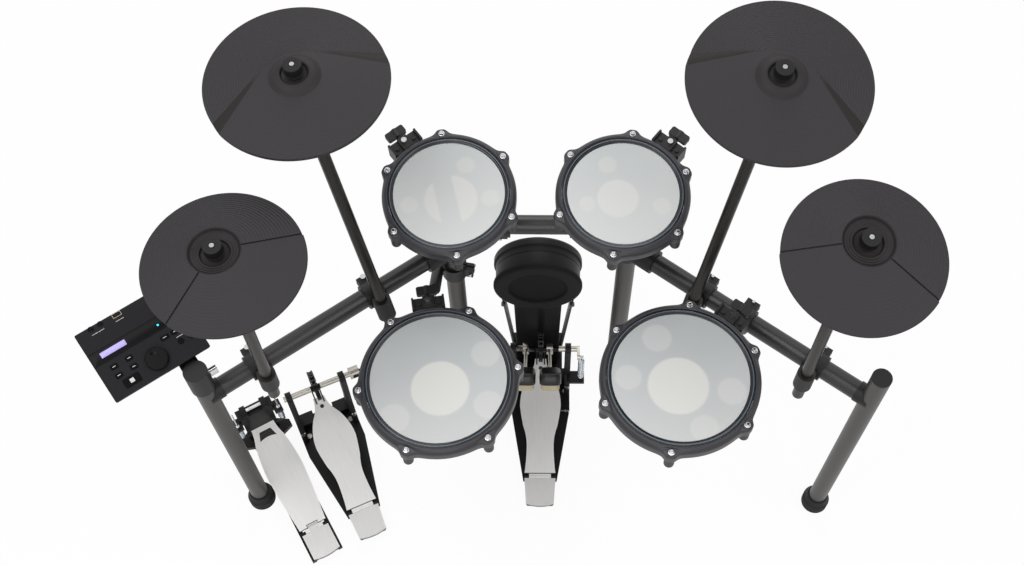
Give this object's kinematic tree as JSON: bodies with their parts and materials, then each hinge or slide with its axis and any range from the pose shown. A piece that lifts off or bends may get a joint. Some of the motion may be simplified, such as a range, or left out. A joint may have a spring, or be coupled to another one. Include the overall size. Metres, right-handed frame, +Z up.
{
  "type": "electronic drum kit",
  "caption": "Electronic drum kit: tube stand with mesh pads, rubber cymbals on arms, kick pad with double pedal, hi-hat pedal and a sound module.",
  "frame": {"origin": "centre of the kit's bounding box on the floor", "axes": "+X to the player's right along the kit's width, +Y away from the player, +Z up"},
  "size_m": [1.4798, 0.6354, 1.1766],
  "materials": {
    "post_tube": "satin grey-black paint",
    "bar_tube": "gloss black paint",
    "cast_black": "matt black glass-filled plastic",
    "bright_hardware": "chrome",
    "black_rubber": "matt rubber",
    "arm_tube": "dark satin coating",
    "stem_steel": "satin steel",
    "pad_rod": "chrome",
    "cymbal_rubber": "matt charcoal rubber with fine grooves",
    "pad_plastic": "matt black plastic",
    "hoop_rubber": "charcoal moulded hoop",
    "mesh_head": "pale woven mesh",
    "kick_rubber": "matt black rubber",
    "black_steel": "satin black paint",
    "grey_steel": "satin grey paint",
    "brushed_board": "brushed aluminium",
    "axle_steel": "plain steel",
    "beater_plastic": "black plastic with felt back",
    "chain_steel": "steel chain",
    "spring_steel": "bright spring wire",
    "module_plastic": "charcoal plastic",
    "module_gloss": "gloss black plastic",
    "button_rubber": "dark rubber keys"
  },
  "bodies": {
    "stand": {"posts": "post_tube", "rubber_feet_and_caps": "black_rubber", "stand_bars": "bar_tube", "bar_joints": "cast_black", "clamp_bolts": "bright_hardware", "cymbal_caps": "cast_black", "cymbal_arms": "arm_tube", "cymbal_stems": "stem_steel", "bar_clamps": "cast_black", "pad_rods": "pad_rod", "kick_face": "kick_rubber", "kick_drum": "pad_plastic", "kick_tower": "black_steel", "kick_braces": "grey_steel", "main_base": "black_steel", "heel_plates": "brushed_board", "main_chain": "chain_steel", "slave_base": "black_steel", "slave_chain": "chain_steel", "right_spring": "spring_steel", "left_spring": "spring_steel", "hihat_base": "black_steel", "hihat_springs": "spring_steel", "module_case": "module_plastic", "module_panel": "module_plastic", "module_bracket": "cast_black"},
    "left_crash": {"left_crash": "cymbal_rubber"},
    "right_crash": {"right_crash": "cymbal_rubber"},
    "hihat_cymbal": {"hihat_cymbal": "cymbal_rubber"},
    "right_cymbal": {"right_cymbal": "cymbal_rubber"},
    "left_tom": {"left_tom_shell": "pad_plastic", "left_tom_hoop": "hoop_rubber", "left_tom_head": "mesh_head"},
    "right_tom": {"right_tom_shell": "pad_plastic", "right_tom_hoop": "hoop_rubber", "right_tom_head": "mesh_head"},
    "snare": {"snare_shell": "pad_plastic", "snare_hoop": "hoop_rubber", "snare_head": "mesh_head"},
    "floor_tom": {"floor_tom_shell": "pad_plastic", "floor_tom_hoop": "hoop_rubber", "floor_tom_head": "mesh_head"},
    "main_footboard": {"main_footboard": "brushed_board"},
    "slave_footboard": {"slave_footboard": "brushed_board"},
    "hihat_footboard": {"hihat_footboard": "brushed_board"},
    "main_axle": {"main_axle": "axle_steel", "right_beater": "beater_plastic"},
    "slave_axle": {"slave_axle": "axle_steel"},
    "drive_shaft": {"drive_shaft": "black_steel"},
    "left_beater": {"left_beater": "beater_plastic"},
    "dial": {"dial": "module_gloss"},
    "pad_button_1": {"pad_button_1": "button_rubber"},
    "pad_button_2": {"pad_button_2": "button_rubber"},
    "pad_button_3": {"pad_button_3": "button_rubber"},
    "pad_button_4": {"pad_button_4": "button_rubber"},
    "start_button": {"start_button": "button_rubber"},
    "mode_button_1": {"mode_button_1": "button_rubber"},
    "mode_button_2": {"mode_button_2": "button_rubber"},
    "page_button_1": {"page_button_1": "button_rubber"},
    "page_button_2": {"page_button_2": "button_rubber"}
  },
  "joints": [
    {"name": "left_crash_rock", "type": "hinge", "parent": "stand", "child": "left_crash", "pos_m": [-0.31004, 0.1649, 1.1171], "axis": [1, 0, 0], "range_deg": [-6, 6], "stiffness_Nm_per_rad": 8},
    {"name": "right_crash_rock", "type": "hinge", "parent": "stand", "child": "right_crash", "pos_m": [0.47596, 0.15855, 1.13207], "axis": [1, 0, 0], "range_deg": [-6, 6], "stiffness_Nm_per_rad": 8},
    {"name": "hihat_cymbal_rock", "type": "hinge", "parent": "stand", "child": "hihat_cymbal", "pos_m": [-0.42046, -0.12266, 1.0317], "axis": [1, 0, 0], "range_deg": [-6, 6], "stiffness_Nm_per_rad": 8},
    {"name": "right_cymbal_rock", "type": "hinge", "parent": "stand", "child": "right_cymbal", "pos_m": [0.59738, -0.11152, 1.06272], "axis": [1, 0, 0], "range_deg": [-6, 6], "stiffness_Nm_per_rad": 8},
    {"name": "left_tom_swivel", "type": "hinge", "parent": "stand", "child": "left_tom", "pos_m": [-0.16716, 0.26539, 0.80845], "axis": [0, -0.1288, 0.9917], "range_deg": [-7, 7]},
    {"name": "right_tom_swivel", "type": "hinge", "parent": "stand", "child": "right_tom", "pos_m": [0.33103, 0.26101, 0.81552], "axis": [0, -0.1132, 0.9936], "range_deg": [-7, 7]},
    {"name": "snare_swivel", "type": "hinge", "parent": "stand", "child": "snare", "pos_m": [-0.12082, 0.00377, 0.66324], "axis": [0, -0.0262, 0.9997], "range_deg": [-10, 10]},
    {"name": "floor_tom_swivel", "type": "hinge", "parent": "stand", "child": "floor_tom", "pos_m": [0.44617, -0.03556, 0.68722], "axis": [0, -0.0175, 0.9998], "range_deg": [-10, 10]},
    {"name": "main_footboard_press", "type": "hinge", "parent": "stand", "child": "main_footboard", "pos_m": [0.09196, -0.10605, 0.02], "axis": [1, 0, 0], "range_deg": [-6.57, 0], "stiffness_Nm_per_rad": 8, "springref_deg": 11.46, "deforming": ["main_chain"]},
    {"name": "slave_footboard_press", "type": "hinge", "parent": "stand", "child": "slave_footboard", "pos_m": [-0.30356, -0.18232, 0.02], "axis": [0.9078, 0.4195, 0], "range_deg": [-6.57, 0], "stiffness_Nm_per_rad": 8, "springref_deg": 11.46, "deforming": ["slave_chain"]},
    {"name": "hihat_footboard_press", "type": "hinge", "parent": "stand", "child": "hihat_footboard", "pos_m": [-0.40735, -0.23034, 0.02], "axis": [0.8634, 0.5045, 0], "range_deg": [-7, 0], "stiffness_Nm_per_rad": 8, "springref_deg": 11.46, "deforming": ["hihat_springs"]},
    {"name": "right_beater_swing", "type": "hinge", "parent": "stand", "child": "main_axle", "pos_m": [0.09196, 0.12795, 0.2], "axis": [1, 0, 0], "range_deg": [-51, 0], "deforming": ["right_spring"]},
    {"name": "slave_axle_turn", "type": "hinge", "parent": "stand", "child": "slave_axle", "pos_m": [-0.40171, 0.0301, 0.2], "axis": [0.9078, 0.4195, 0], "range_deg": [-51, 0]},
    {"name": "drive_shaft_turn", "type": "hinge", "parent": "stand", "child": "drive_shaft", "pos_m": [-0.16471, 0.09874, 0.2], "axis": [0.982, 0.1891, 0], "range_deg": [-51, 0]},
    {"name": "left_beater_swing", "type": "hinge", "parent": "stand", "child": "left_beater", "pos_m": [0.05896, 0.12795, 0.2], "axis": [1, 0, 0], "range_deg": [-51, 0], "deforming": ["left_spring"]},
    {"name": "dial_turn", "type": "hinge", "parent": "stand", "child": "dial", "pos_m": [-0.59724, -0.1404, 0.70044], "axis": [0.211, -0.2856, 0.9348], "continuous": true},
    {"name": "pad_button_1_press", "type": "slide", "parent": "stand", "child": "pad_button_1", "axis": [-0.211, 0.2856, -0.9348], "range_m": [0, 0.0012], "stiffness_N_per_m": 400, "springref_m": -0.0005},
    {"name": "pad_button_2_press", "type": "slide", "parent": "stand", "child": "pad_button_2", "axis": [-0.211, 0.2856, -0.9348], "range_m": [0, 0.0012], "stiffness_N_per_m": 400, "springref_m": -0.0005},
    {"name": "pad_button_3_press", "type": "slide", "parent": "stand", "child": "pad_button_3", "axis": [-0.211, 0.2856, -0.9348], "range_m": [0, 0.0012], "stiffness_N_per_m": 400, "springref_m": -0.0005},
    {"name": "pad_button_4_press", "type": "slide", "parent": "stand", "child": "pad_button_4", "axis": [-0.211, 0.2856, -0.9348], "range_m": [0, 0.0012], "stiffness_N_per_m": 400, "springref_m": -0.0005},
    {"name": "start_button_press", "type": "slide", "parent": "stand", "child": "start_button", "axis": [-0.211, 0.2856, -0.9348], "range_m": [0, 0.0012], "stiffness_N_per_m": 400, "springref_m": -0.0005},
    {"name": "mode_button_1_press", "type": "slide", "parent": "stand", "child": "mode_button_1", "axis": [-0.211, 0.2856, -0.9348], "range_m": [0, 0.0012], "stiffness_N_per_m": 400, "springref_m": -0.0005},
    {"name": "mode_button_2_press", "type": "slide", "parent": "stand", "child": "mode_button_2", "axis": [-0.211, 0.2856, -0.9348], "range_m": [0, 0.0012], "stiffness_N_per_m": 400, "springref_m": -0.0005},
    {"name": "page_button_1_press", "type": "slide", "parent": "stand", "child": "page_button_1", "axis": [-0.211, 0.2856, -0.9348], "range_m": [0, 0.0012], "stiffness_N_per_m": 400, "springref_m": -0.0005},
    {"name": "page_button_2_press", "type": "slide", "parent": "stand", "child": "page_button_2", "axis": [-0.211, 0.2856, -0.9348], "range_m": [0, 0.0012], "stiffness_N_per_m": 400, "springref_m": -0.0005}
  ],
  "couplings": [
    {"joint": "right_beater_swing", "follows": "main_footboard_press", "ratio": 7.763},
    {"joint": "slave_axle_turn", "follows": "slave_footboard_press", "ratio": 7.763},
    {"joint": "drive_shaft_turn", "follows": "slave_footboard_press", "ratio": 7.763},
    {"joint": "left_beater_swing", "follows": "slave_footboard_press", "ratio": 7.763}
  ]
}
